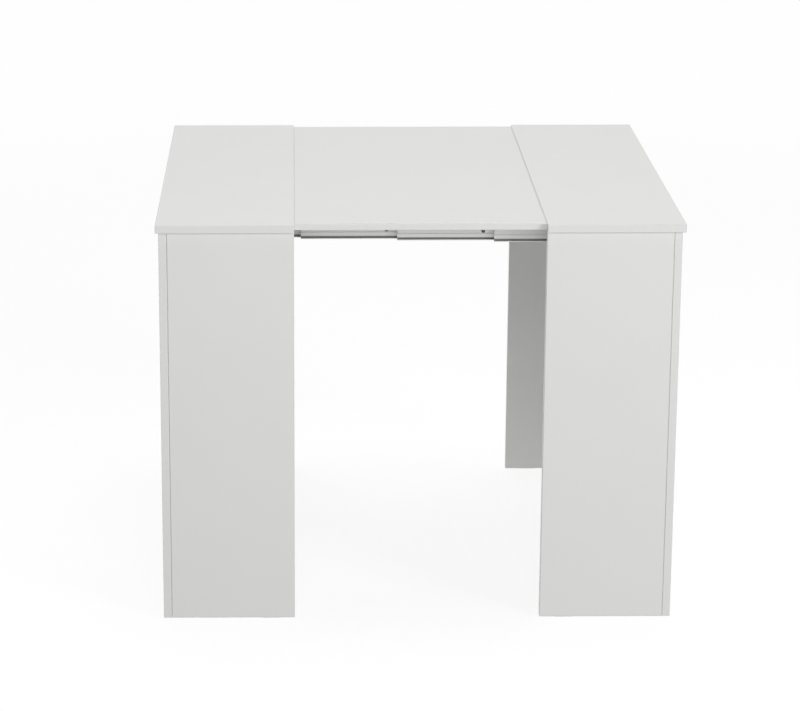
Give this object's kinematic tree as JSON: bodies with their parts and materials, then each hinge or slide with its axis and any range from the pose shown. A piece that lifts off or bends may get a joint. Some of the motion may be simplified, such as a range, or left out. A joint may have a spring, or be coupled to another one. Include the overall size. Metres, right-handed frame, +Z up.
{
  "type": "extendable console table",
  "caption": "Rectangular extendable console table: U-shaped panel legs, a set-in leaf between them, and telescopic aluminium guides that draw one end out for a further leaf.",
  "frame": {"origin": "on the floor, under the middle of the table with one leaf in place", "axes": "+X is the way the right end draws out, -Y is the front and +Z is up"},
  "size_m": [0.975, 0.9, 0.77],
  "materials": {
    "white_board": "matt white melamine-faced particleboard with edge banding",
    "guide_aluminium": "anodised satin extrusion",
    "zinc_steel": "zinc-plated pressed steel",
    "zinc_fitting": "zinc-plated fitting",
    "beech_dowel": "plain beech",
    "leaf_felt": "pale grey self-adhesive felt",
    "glide_felt": "dark grey self-adhesive felt"
  },
  "bodies": {
    "left_end": {"left_top": "white_board", "left_end_panel": "white_board", "left_front_board": "white_board", "left_rear_board": "white_board", "left_glide_pads": "glide_felt", "left_cam_locks": "zinc_fitting", "left_cam_bolts": "zinc_fitting", "left_dowels": "beech_dowel", "left_guide_brackets": "zinc_steel", "left_bracket_screws": "zinc_steel", "left_bracket_rivets": "guide_aluminium", "center_leaf": "white_board", "leaf_pins": "zinc_fitting", "leaf_felt_strips": "leaf_felt", "front_guide_1": "guide_aluminium", "front_stops_1": "zinc_steel", "rear_guide_1": "guide_aluminium", "rear_stops_1": "zinc_steel"},
    "right_end": {"right_top": "white_board", "right_end_panel": "white_board", "right_front_board": "white_board", "right_rear_board": "white_board", "right_glide_pads": "glide_felt", "right_cam_locks": "zinc_fitting", "right_cam_bolts": "zinc_fitting", "right_dowels": "beech_dowel", "right_guide_brackets": "zinc_steel", "right_bracket_screws": "zinc_steel", "right_bracket_rivets": "guide_aluminium", "right_top_pins": "zinc_fitting", "front_guide_6": "guide_aluminium", "front_stops_6": "zinc_steel", "rear_guide_6": "guide_aluminium", "rear_stops_6": "zinc_steel"},
    "front_stage_2": {"front_guide_2": "guide_aluminium", "front_stops_2": "zinc_steel"},
    "front_stage_3": {"front_guide_3": "guide_aluminium", "front_stops_3": "zinc_steel"},
    "front_stage_4": {"front_guide_4": "guide_aluminium", "front_stops_4": "zinc_steel"},
    "front_stage_5": {"front_guide_5": "guide_aluminium", "front_stops_5": "zinc_steel"},
    "rear_stage_2": {"rear_guide_2": "guide_aluminium", "rear_stops_2": "zinc_steel"},
    "rear_stage_3": {"rear_guide_3": "guide_aluminium", "rear_stops_3": "zinc_steel"},
    "rear_stage_4": {"rear_guide_4": "guide_aluminium", "rear_stops_4": "zinc_steel"},
    "rear_stage_5": {"rear_guide_5": "guide_aluminium", "rear_stops_5": "zinc_steel"}
  },
  "joints": [
    {"name": "extension", "type": "slide", "parent": "left_end", "child": "right_end", "axis": [1, 0, 0], "range_m": [0, 0.465]},
    {"name": "front_stage_2_slide", "type": "slide", "parent": "left_end", "child": "front_stage_2", "axis": [1, 0, 0], "range_m": [0, 0.133]},
    {"name": "front_stage_3_slide", "type": "slide", "parent": "front_stage_2", "child": "front_stage_3", "axis": [1, 0, 0], "range_m": [0, 0.133]},
    {"name": "front_stage_4_slide", "type": "slide", "parent": "front_stage_3", "child": "front_stage_4", "axis": [1, 0, 0], "range_m": [0, 0.133]},
    {"name": "front_stage_5_slide", "type": "slide", "parent": "front_stage_4", "child": "front_stage_5", "axis": [1, 0, 0], "range_m": [0, 0.033]},
    {"name": "rear_stage_2_slide", "type": "slide", "parent": "left_end", "child": "rear_stage_2", "axis": [1, 0, 0], "range_m": [0, 0.133]},
    {"name": "rear_stage_3_slide", "type": "slide", "parent": "rear_stage_2", "child": "rear_stage_3", "axis": [1, 0, 0], "range_m": [0, 0.133]},
    {"name": "rear_stage_4_slide", "type": "slide", "parent": "rear_stage_3", "child": "rear_stage_4", "axis": [1, 0, 0], "range_m": [0, 0.133]},
    {"name": "rear_stage_5_slide", "type": "slide", "parent": "rear_stage_4", "child": "rear_stage_5", "axis": [1, 0, 0], "range_m": [0, 0.033]}
  ],
  "couplings": [
    {"joint": "front_stage_2_slide", "follows": "extension", "ratio": 0.28602},
    {"joint": "front_stage_3_slide", "follows": "extension", "ratio": 0.28602},
    {"joint": "front_stage_4_slide", "follows": "extension", "ratio": 0.28602},
    {"joint": "front_stage_5_slide", "follows": "extension", "ratio": 0.07096},
    {"joint": "rear_stage_2_slide", "follows": "extension", "ratio": 0.28602},
    {"joint": "rear_stage_3_slide", "follows": "extension", "ratio": 0.28602},
    {"joint": "rear_stage_4_slide", "follows": "extension", "ratio": 0.28602},
    {"joint": "rear_stage_5_slide", "follows": "extension", "ratio": 0.07096}
  ]
}
